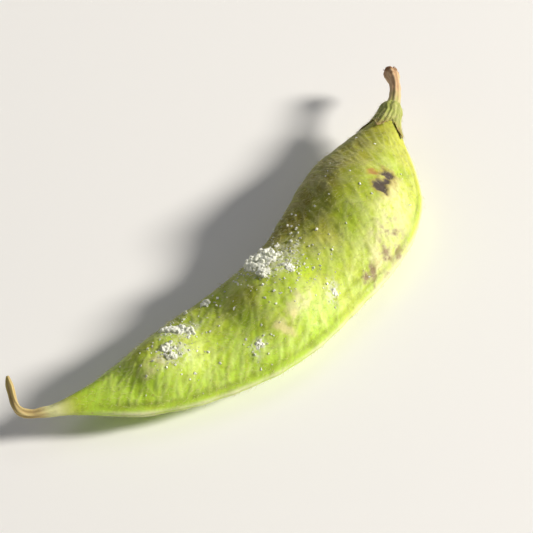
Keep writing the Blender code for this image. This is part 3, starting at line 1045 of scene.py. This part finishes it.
def scatter_tree(name, material, shape_of_one):
    """Build the nodes that strew one small shape over a surface, leaning as its attribute says."""
    tree = bpy.data.node_groups.new(name, "GeometryNodeTree")
    sockets = {}
    for label, kind in (("Surface", "NodeSocketGeometry"), ("Density", "NodeSocketFloat"),
                        ("Size", "NodeSocketFloat"), ("Thickness", "NodeSocketFloat"),
                        ("Seed", "NodeSocketInt"), ("Mask", "NodeSocketString")):
        sockets[label] = tree.interface.new_socket(label, in_out="INPUT", socket_type=kind).identifier
    tree.interface.new_socket("Result", in_out="OUTPUT", socket_type="NodeSocketGeometry")
    given = add(tree, "NodeGroupInput").outputs
    mask = add(tree, "GeometryNodeInputNamedAttribute", {"Name": given["Mask"]}, data_type="FLOAT").outputs[0]
    density = add(tree, "ShaderNodeMath", {0: mask, 1: given["Density"]}, operation="MULTIPLY").outputs[0]
    spread = add(tree, "GeometryNodeDistributePointsOnFaces", {
        "Mesh": given["Surface"], "Density": density, "Seed": given["Seed"],
    })
    one, turn, scale = shape_of_one(tree, given, spread)
    placed = add(tree, "GeometryNodeInstanceOnPoints", {
        "Points": spread.outputs["Points"], "Instance": one, "Rotation": turn, "Scale": scale,
    })
    real = add(tree, "GeometryNodeRealizeInstances", {0: placed.outputs[0]})
    painted = add(tree, "GeometryNodeSetMaterial", {"Geometry": real.outputs[0], "Material": material})
    add(tree, "NodeGroupOutput", {0: painted.outputs[0]})
    return tree, sockets


def one_hair(tree, given, spread):
    """Make a bent, tapering hair that leans towards the beak."""
    bend = []
    for forward, upward in HAIR_BEND:
        place = add(tree, "ShaderNodeCombineXYZ", {"X": forward, "Z": upward}).outputs[0]
        sized = add(tree, "ShaderNodeVectorMath", {0: place, "Scale": given["Size"]}, operation="SCALE")
        bend.append(sized.outputs[0])
    start, middle, end = bend
    curve = add(tree, "GeometryNodeCurveQuadraticBezier", {
        "Resolution": 3, "Start": start, "Middle": middle, "End": end,
    })
    factor = add(tree, "GeometryNodeSplineParameter").outputs["Factor"]
    taper = add(tree, "ShaderNodeMapRange", {"Value": factor, 3: 1.0, 4: 0.25}).outputs[0]
    radius = add(tree, "ShaderNodeMath", {0: taper, 1: given["Thickness"]}, operation="MULTIPLY").outputs[0]
    profile = add(tree, "GeometryNodeCurvePrimitiveCircle", {"Resolution": 3, "Radius": 1.0}).outputs[0]
    body = add(tree, "GeometryNodeCurveToMesh", {
        "Curve": curve.outputs[0], "Profile Curve": profile, "Scale": radius, "Fill Caps": True,
    })
    lean = add(tree, "GeometryNodeInputNamedAttribute", {"Name": "lean"}, data_type="FLOAT_VECTOR").outputs[0]
    aimed = add(tree, "FunctionNodeAlignRotationToVector", {
        "Rotation": spread.outputs["Rotation"], "Vector": lean,
    }, axis="X", pivot_axis="Z").outputs[0]
    sway = add(tree, "FunctionNodeRandomValue", {
        0: HAIR_SWAY_LEAST, 1: HAIR_SWAY_MOST, "Seed": given["Seed"],
    }, data_type="FLOAT_VECTOR").outputs[0]
    swayed = add(tree, "FunctionNodeEulerToRotation", {0: sway}).outputs[0]
    turn = add(tree, "FunctionNodeRotateRotation", {0: aimed, 1: swayed}, rotation_space="LOCAL").outputs[0]
    scale = add(tree, "FunctionNodeRandomValue", {2: 0.45, 3: 1.0, "Seed": given["Seed"]}, data_type="FLOAT")
    return body.outputs[0], turn, scale.outputs[1]


def one_grain(tree, given, spread):
    """Make a box-like grain of salt, half sunk and turned any way."""
    sides = {"X": given["Size"], "Y": given["Size"], "Z": given["Thickness"]}
    size = add(tree, "ShaderNodeCombineXYZ", sides).outputs[0]
    box = add(tree, "GeometryNodeMeshCube", {"Size": size}).outputs[0]
    tumble = add(tree, "FunctionNodeRandomValue", {
        0: GRAIN_TURN_LEAST, 1: GRAIN_TURN_MOST, "Seed": given["Seed"],
    }, data_type="FLOAT_VECTOR").outputs[0]
    tumbled = add(tree, "FunctionNodeEulerToRotation", {0: tumble}).outputs[0]
    turn = add(tree, "FunctionNodeRotateRotation", {
        0: spread.outputs["Rotation"], 1: tumbled,
    }, rotation_space="LOCAL").outputs[0]
    share = add(tree, "FunctionNodeRandomValue", {
        0: GRAIN_SIDES_LEAST, 1: GRAIN_SIDES_MOST, "Seed": given["Seed"],
    }, data_type="FLOAT_VECTOR").outputs[0]
    small = add(tree, "FunctionNodeRandomValue", {2: 0.35, 3: 1.0, "Seed": given["Seed"]}, data_type="FLOAT")
    scale = add(tree, "ShaderNodeVectorMath", {0: share, "Scale": small.outputs[1]}, operation="SCALE")
    return box, turn, scale.outputs[0]


def strew(surface, tree, sockets, values, name):
    """Run a scattering tree on a copy of a surface and give the plain mesh it makes."""
    ground = bpy.data.objects.new(name + "_ground", surface.data.copy())
    bpy.context.scene.collection.objects.link(ground)
    modifier = ground.modifiers.new("Scatter", "NODES")
    modifier.node_group = tree
    for label, value in values.items():
        modifier[sockets[label]] = value
    bpy.context.view_layer.update()
    graph = bpy.context.evaluated_depsgraph_get()
    mesh = bpy.data.meshes.new_from_object(ground.evaluated_get(graph))
    mesh.name = name
    old = ground.data
    bpy.data.objects.remove(ground)
    bpy.data.meshes.remove(old)
    for layer in [a.name for a in mesh.attributes if a.name in ("lean", "fuzz", "grains")]:
        mesh.attributes.remove(mesh.attributes[layer])
    return mesh


# ------------------------------------------------------------------------------------- operators


class EDAMAME_OT_hull(bpy.types.Operator):
    """Build the hull with its seams, veins, blisters, char pits and dry tip"""

    bl_idname = "edamame.hull"
    bl_label = "Hull"

    def execute(self, context):
        settings = context.scene.edamame_hull
        mesh = build_hull_mesh(settings)
        link_piece(mesh, "pod_hull", hull_material(settings), ["pod"])
        return {"FINISHED"}


class EDAMAME_OT_calyx(bpy.types.Operator):
    """Build the calyx that clasps the neck, its teeth curling a little away from the hull"""

    bl_idname = "edamame.calyx"
    bl_label = "Calyx"

    def execute(self, context):
        around = np.linspace(0.0, 2.0 * math.pi, CALYX_SIDES, endpoint=False)
        between = np.abs(np.mod(around * CALYX_TEETH / (2.0 * math.pi) + 0.5, 1.0) - 0.5) * 2.0
        shift = bare_hull().shift
        neck, ahead, sideways = neck_frame(shift)
        grid = np.array(calyx_base(around, neck, ahead, sideways) + calyx_cup(around, between, shift))
        count = len(grid)
        faces = []
        for ring in range(count - 1):
            for side in range(CALYX_SIDES):
                here, beyond = ring * CALYX_SIDES, (ring + 1) * CALYX_SIDES
                step = (side + 1) % CALYX_SIDES
                faces.append((here + side, beyond + side, beyond + step, here + step))
        mesh = bpy.data.meshes.new("calyx_cup")
        mesh.from_pydata(grid.reshape(-1, 3).tolist(), [], faces)
        mesh.shade_smooth()
        steps = np.repeat(np.linspace(0.0, 1.0, count)[:, None], CALYX_SIDES, axis=1)
        browned = steps**2 * (0.35 + 0.65 * (1.0 - between)[None] ** 0.5)
        put_attribute(mesh, "edge", browned.reshape(-1))
        put_attribute(mesh, "fuzz", (steps * 0.8 + 0.2).reshape(-1))
        put_attribute(mesh, "lean", np.tile(-ahead, (count * CALYX_SIDES, 1)), "FLOAT_VECTOR")
        cup = bpy.data.objects.new("calyx_shape", mesh)
        context.scene.collection.objects.link(cup)
        wall = cup.modifiers.new("Wall", "SOLIDIFY")
        wall.thickness = CALYX_THICKNESS
        wall.offset = -1.0
        # The leaf thins towards the tips of its teeth.
        group = cup.vertex_groups.new(name="wall")
        for index, weight in enumerate(np.clip(1.05 - 0.85 * steps.reshape(-1), 0.0, 1.0).tolist()):
            group.add([index], weight, "REPLACE")
        wall.vertex_group = "wall"
        graph = context.evaluated_depsgraph_get()
        finished = bpy.data.meshes.new_from_object(cup.evaluated_get(graph))
        bpy.data.objects.remove(cup)
        material = calyx_material(context.scene.edamame_stalk)
        link_piece(finished, "calyx_cup", material, ["calyx"])
        return {"FINISHED"}


def calyx_base(around, neck, ahead, sideways):
    """Lay the pleated rings that swell from the stalk to the cup."""
    pleats = 1.0 + 0.045 * np.cos(10.0 * around + 0.6) + 0.03 * np.cos(3.0 * around)
    spokes = np.cos(around)[:, None] * sideways + np.sin(around)[:, None] * np.array([0.0, 0.0, 1.0])
    return [
        neck + ahead * distance + (radius * pleats)[:, None] * spokes for distance, radius in CALYX_BASE
    ]


def calyx_cup(around, between, shift):
    """Lay the rings of the cup, which follow the hull and run out into teeth."""
    controls = hull_controls()
    last = len(controls) - 1.0
    tooth = (1.0 - between) ** 0.85 * (1.0 + 0.18 * np.sin(2.0 * around + 1.0))
    midrib = near(between, 0.16)
    ribs = np.linspace(CALYX_FIRST_RIB, last, CALYX_FRAMES)
    _, side, up = rib_frames(spline(controls, ribs))
    rings = []
    for step in range(CALYX_RINGS):
        share = step / (CALYX_RINGS - 1.0)
        distance = CALYX_START - share * (CALYX_DEPTH + TOOTH_LENGTH * tooth)
        stations = np.interp(distance, controls[:, 6], np.arange(len(controls)))
        rows = spline(controls, stations)
        frames = (stations - CALYX_FIRST_RIB) / (last - CALYX_FIRST_RIB) * (CALYX_FRAMES - 1)
        pick = np.clip(frames.astype(int), 0, CALYX_FRAMES - 1)
        lift = CALYX_LIFT - CALYX_HUG * share + TOOTH_CURL * share**6 * tooth
        lift = lift + MIDRIB_HEIGHT * midrib * (1.0 - 0.6 * share)
        lift = lift + PLEAT_HEIGHT * np.sin(around * 20.0 + 3.0 * share)
        across, rise = lens(rows[:, 3], rows[:, 4], rows[:, 5], around, lift)
        rings.append(rows[:, :3] + shift + across[:, None] * side[pick] + rise[:, None] * up[pick])
    return rings


def neck_frame(shift):
    """Give the neck's end, the way ahead of it and the way to its side."""
    x, y = line_places(NECK_END)
    heading = float(heading_at(NECK_END))
    ahead = np.array([math.cos(heading), math.sin(heading), 0.0])
    sideways = np.array([-math.sin(heading), math.cos(heading), 0.0])
    return np.array([x, y, NECK_HEIGHT]) + shift, ahead, sideways


class EDAMAME_OT_stalk(bpy.types.Operator):
    """Build the ribbed stalk, its swollen node and the fibres of its torn end"""

    bl_idname = "edamame.stalk"
    bl_label = "Stalk"

    def execute(self, context):
        neck, ahead, sideways = neck_frame(bare_hull().shift)
        up = np.array([0.0, 0.0, 1.0])
        controls = np.array([
            (*(neck + ahead * distance + sideways * drift + up * rise), radius)
            for distance, drift, rise, radius in STALK_POINTS
        ])
        rows = spline(controls, even_stations(controls, STALK_RINGS))
        along, side, rib_up = rib_frames(rows)
        around = np.linspace(0.0, 2.0 * math.pi, STALK_SIDES, endpoint=False)[None]
        share = np.linspace(0.0, 1.0, STALK_RINGS)[:, None]
        ridge = 0.5 + 0.5 * np.cos(8.0 * around + 1.5 * share)
        knot = near(share - 0.80, 0.05)
        radius = rows[:, 3, None] * (0.93 + 0.12 * ridge + 0.10 * knot)
        spokes = np.cos(around)[..., None] * side[:, None] + np.sin(around)[..., None] * rib_up[:, None]
        grid = rows[:, None, :3] + radius[..., None] * spokes
        grid += grid_normals(grid) * (BARK_HEIGHT * field(grid * 1400.0, 21))[..., None]
        edge = np.stack([np.cos(around[0]), np.sin(around[0]), 0.0 * around[0]], axis=1)
        ragged = field(edge * 2.3, 22)
        grid += along[:, None] * (smooth(0.93, 1.0, share) * RAGGED_REACH * ragged)[..., None]
        mesh = tube_mesh("stalk_twig", grid)
        put_attribute(mesh, "along", capped(np.repeat(share, STALK_SIDES, axis=1)))
        put_attribute(mesh, "ridge", capped(ridge * np.ones_like(share)))
        add_torn_fibres(mesh, rows[-1, :3], rows[-1, 3], along[-1], side[-1], rib_up[-1])
        link_piece(mesh, "stalk_twig", stalk_material(context.scene.edamame_stalk), ["stalk"])
        return {"FINISHED"}


def add_torn_fibres(mesh, end, radius, ahead, side, up):
    """Stand short tapering fibres on the stalk's torn end."""
    shape = bmesh.new()
    shape.from_mesh(mesh)
    along_layer = shape.verts.layers.float["along"]
    random = np.random.default_rng(5)
    way = Vector(ahead)
    for _ in range(FIBRES):
        angle, reach = random.uniform(0.0, 2.0 * math.pi), random.uniform(0.10, 0.88)
        root = Vector(end + reach * radius * (math.cos(angle) * side + math.sin(angle) * up))
        sway = Vector(random.uniform(-0.22, 0.22, 3))
        length = random.uniform(0.0004, 0.0009)
        turn = (way + sway).to_track_quat("Z", "Y").to_matrix().to_4x4()
        place = Matrix.Translation(root + (way + sway) * (0.35 * length)) @ turn
        made = bmesh.ops.create_cone(
            shape, cap_ends=True, segments=5, radius1=FIBRE_ROOT, radius2=FIBRE_TIP,
            depth=length, matrix=place,
        )
        for vertex in made["verts"]:
            vertex[along_layer] = 1.0
    shape.to_mesh(mesh)
    shape.free()
    mesh.shade_smooth()


class EDAMAME_OT_fuzz(bpy.types.Operator):
    """Grow the short hairs on the hull and the calyx"""

    bl_idname = "edamame.fuzz"
    bl_label = "Fuzz"

    def execute(self, context):
        settings = context.scene.edamame_fuzz
        material = hair_material(settings)
        tree, sockets = scatter_tree("Grow hairs", material, one_hair)
        for surface, share in (("pod_hull", 1.0), ("calyx_cup", 2.5)):
            values = {
                "Density": settings.density * share,
                "Size": settings.length,
                "Thickness": settings.thickness,
                "Seed": settings.seed,
                "Mask": "fuzz",
            }
            mesh = strew(bpy.data.objects[surface], tree, sockets, values, surface + "_fuzz")
            link_piece(mesh, surface + "_fuzz", material, [])
        bpy.data.node_groups.remove(tree)
        return {"FINISHED"}


class EDAMAME_OT_salt_lumps(bpy.types.Operator):
    """Build each lump of salt as grains that have caked together"""

    bl_idname = "edamame.salt_lumps"
    bl_label = "Salt lumps"

    def execute(self, context):
        material = salt_material(context.scene.edamame_salt)
        hull = bpy.data.objects["pod_hull"]
        tree = BVHTree.FromObject(hull, context.evaluated_depsgraph_get())
        for number, node in enumerate(SALT_NODES):
            link_piece(salt_lump(node, number, tree), node + "_grains", material, [node])
        return {"FINISHED"}


def salt_lump(node, number, hull_tree):
    """Cake small crystals onto the solid's own shape, sunk until it touches the hull."""
    random = np.random.default_rng(40 + number)
    low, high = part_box(node)
    length = (high - low).length
    shape = bmesh.new()
    shape.from_mesh(frame["nodes"][node].data)
    bmesh.ops.remove_doubles(shape, verts=shape.verts, dist=1e-6)
    outward = seat_lump(shape, 0.5 * (low + high), length, hull_tree)
    faces = [face for face in shape.faces if face.normal.dot(outward) > -0.2]
    areas = np.array([face.calc_area() for face in faces])
    places = [(face.calc_center_median(), face.normal.copy()) for face in faces]
    count = int(FEWEST_CRYSTALS + CRYSTALS_PER_METRE * length)
    largest = min(1.0, 0.30 + length / 0.008)
    for pick in random.choice(len(faces), count, p=areas / areas.sum()):
        place, normal = places[pick]
        edge = random.uniform(CRYSTAL_SMALLEST, CRYSTAL_LARGEST) * largest
        spin = Euler(random.uniform(-3.1, 3.1, 3)).to_matrix().to_4x4()
        sides = (edge, edge * random.uniform(0.6, 1.0), edge * random.uniform(0.5, 1.0), 1.0)
        where = Matrix.Translation(place + normal * edge * random.uniform(-0.2, 0.35))
        bmesh.ops.create_cube(shape, size=1.0, matrix=where @ spin @ Matrix.Diagonal(sides))
    mesh = fused(shape, CAKE_CELL if length > 0.004 else CAKE_CELL_SMALL)
    points = np.zeros(len(mesh.vertices) * 3)
    normals = np.zeros(len(mesh.vertices) * 3)
    mesh.vertices.foreach_get("co", points)
    mesh.vertices.foreach_get("normal", normals)
    points, normals = points.reshape(-1, 3), normals.reshape(-1, 3)
    bumps = 0.00005 * field(points * 2600.0, 31) + 0.00003 * field(points * 6000.0, 32)
    mesh.vertices.foreach_set("co", (points + normals * bumps[:, None]).ravel())
    mesh.name = node + "_grains"
    mesh.update()
    return mesh


def seat_lump(shape, centre, length, hull_tree):
    """Flatten a lump and drop it until it sits in the hull, and give the way out of the hull."""
    _, outward, _, _ = hull_tree.find_nearest(centre)
    foot = min((vertex.co - centre).dot(outward) for vertex in shape.verts)
    ground, _, _, _ = hull_tree.ray_cast(centre + outward * 0.004, -outward)
    drop = (ground - centre).dot(outward) - foot - LUMP_SINK - LUMP_SINK_SHARE * length
    for vertex in shape.verts:
        above = (vertex.co - centre).dot(outward) - foot
        vertex.co += outward * (drop - LUMP_FLATTENING * above)
    return outward


def fused(shape, cell):
    """Fuse a shape's overlapping crystals into one skin of small cells."""
    rough = bpy.data.meshes.new("caked")
    shape.to_mesh(rough)
    shape.free()
    lump = bpy.data.objects.new("caked", rough)
    bpy.context.scene.collection.objects.link(lump)
    remesh = lump.modifiers.new("Cake", "REMESH")
    remesh.mode = "VOXEL"
    remesh.voxel_size = cell
    remesh.use_smooth_shade = False
    mesh = bpy.data.meshes.new_from_object(lump.evaluated_get(bpy.context.evaluated_depsgraph_get()))
    bpy.data.objects.remove(lump)
    return mesh


class EDAMAME_OT_salt_grains(bpy.types.Operator):
    """Strew the loose grains of salt on the upper side"""

    bl_idname = "edamame.salt_grains"
    bl_label = "Loose salt"

    def execute(self, context):
        settings = context.scene.edamame_salt
        material = bpy.data.materials["sea_salt"]
        tree, sockets = scatter_tree("Strew grains", material, one_grain)
        values = {
            "Density": settings.density,
            "Size": settings.grain,
            "Thickness": settings.grain * 0.8,
            "Seed": settings.seed,
            "Mask": "grains",
        }
        mesh = strew(bpy.data.objects["pod_hull"], tree, sockets, values, "salt_loose")
        bpy.data.node_groups.remove(tree)
        link_piece(mesh, "salt_loose", material, [])
        return {"FINISHED"}


class EDAMAME_OT_stage(bpy.types.Operator):
    """Set the floor, the camera, the lamps and the pale sky"""

    bl_idname = "edamame.stage"
    bl_label = "Stage"

    def execute(self, context):
        settings = context.scene.edamame_stage
        scene = context.scene
        centre = 0.5 * (CAD_LOW + CAD_HIGH)
        sweep_floor(scene, settings)
        place_camera(scene, settings, centre)
        place_lamps(scene, settings.azimuth, centre)
        world = bpy.data.worlds.new("studio")
        world.use_nodes = True
        tree = world.node_tree
        tree.nodes.clear()
        glow = {"Color": opaque(linear(SKY_COLOUR)), "Strength": SKY_STRENGTH}
        sky = add(tree, "ShaderNodeBackground", glow)
        add(tree, "ShaderNodeOutputWorld", {"Surface": sky.outputs[0]})
        scene.world = world
        scene.view_settings.view_transform = "Standard"
        return {"FINISHED"}


def sweep_floor(scene, settings):
    """Lay a round board that is flat about the pod and sweeps up at its edge."""
    turns = [math.radians(6.0 * step) for step in range(16)]
    profile = [(0.5 * FLOOR_FLAT, 0.0)]
    profile += [
        (FLOOR_FLAT + FLOOR_SWEEP * math.sin(turn), FLOOR_RISE * (1.0 - math.cos(turn))) for turn in turns
    ]
    ways = [math.radians(5.0 * step) for step in range(72)]
    points = [(r * math.cos(way), r * math.sin(way), z) for r, z in profile for way in ways]
    count = len(ways)
    faces = [list(range(count))]
    for ring in range(len(profile) - 1):
        for step in range(count):
            here, beyond, following = ring * count, (ring + 1) * count, (step + 1) % count
            faces.append((here + step, beyond + step, beyond + following, here + following))
    mesh = bpy.data.meshes.new("floor")
    mesh.from_pydata(points, [], faces)
    mesh.shade_smooth()
    mesh.materials.append(floor_material(settings))
    floor = bpy.data.objects.new("floor", mesh)
    scene.collection.objects.link(floor)


def place_camera(scene, settings, centre):
    """Stand the camera where the settings say, aimed a little to one side of the pod's middle."""
    back = direction(settings.azimuth, settings.elevation)
    camera = bpy.data.cameras.new("camera")
    camera.lens = LENS_LENGTH
    camera.sensor_width = SENSOR_WIDTH
    camera.clip_start = 0.01
    camera.clip_end = 10.0
    eye = bpy.data.objects.new("camera", camera)
    scene.collection.objects.link(eye)
    right = Vector((math.cos(settings.azimuth), math.sin(settings.azimuth), 0.0))
    aim = centre - right * AIM_SHIFT + back.cross(right) * AIM_SHIFT
    eye.location = aim + back * (settings.width * LENS_LENGTH / SENSOR_WIDTH)
    eye.rotation_euler = back.to_track_quat("Z", "Y").to_euler()
    scene.camera = eye


def place_lamps(scene, azimuth, centre):
    """Hang the lamps round the pod, each facing its middle."""
    for name, turn, rise, size, power, tint in LAMPS:
        lamp = bpy.data.lights.new(name, "AREA")
        lamp.shape = "DISK"
        lamp.size = size
        lamp.energy = power
        lamp.color = linear(tint)
        light = bpy.data.objects.new(name, lamp)
        way = direction(azimuth + math.radians(turn), math.radians(rise))
        light.location = centre + way * LAMP_DISTANCE
        light.rotation_euler = way.to_track_quat("Z", "Y").to_euler()
        scene.collection.objects.link(light)


def direction(azimuth, elevation):
    """Give the way from the pod to something at an azimuth and elevation."""
    level = math.cos(elevation)
    return Vector((math.sin(azimuth) * level, -math.cos(azimuth) * level, math.sin(elevation)))


class EDAMAME_PT_panel(bpy.types.Panel):
    """Lists the pieces of the pod in the sidebar"""

    bl_idname = "EDAMAME_PT_panel"
    bl_label = "Edamame pod"
    bl_space_type = "VIEW_3D"
    bl_region_type = "UI"
    bl_category = "Edamame"

    def draw(self, context):
        for operator in OPERATORS:
            self.layout.operator(operator.bl_idname)


OPERATORS = (
    EDAMAME_OT_hull,
    EDAMAME_OT_calyx,
    EDAMAME_OT_stalk,
    EDAMAME_OT_fuzz,
    EDAMAME_OT_salt_lumps,
    EDAMAME_OT_salt_grains,
    EDAMAME_OT_stage,
)
SETTINGS = (
    ("edamame_hull", HullSettings),
    ("edamame_fuzz", FuzzSettings),
    ("edamame_stalk", StalkSettings),
    ("edamame_salt", SaltSettings),
    ("edamame_stage", StageSettings),
)


def register():
    """Add the settings, operators and panel to Blender."""
    for name, group in SETTINGS:
        bpy.utils.register_class(group)
        setattr(bpy.types.Scene, name, PointerProperty(type=group))
    for made in (*OPERATORS, EDAMAME_PT_panel):
        bpy.utils.register_class(made)


def unregister():
    """Take them away again."""
    for made in reversed((*OPERATORS, EDAMAME_PT_panel)):
        bpy.utils.unregister_class(made)
    for name, group in reversed(SETTINGS):
        delattr(bpy.types.Scene, name)
        bpy.utils.unregister_class(group)


def main():
    """Build everything in order."""
    register()
    for operator in OPERATORS:
        group, name = operator.bl_idname.split(".")
        getattr(getattr(bpy.ops, group), name)()


if __name__ == "__main__":
    main()
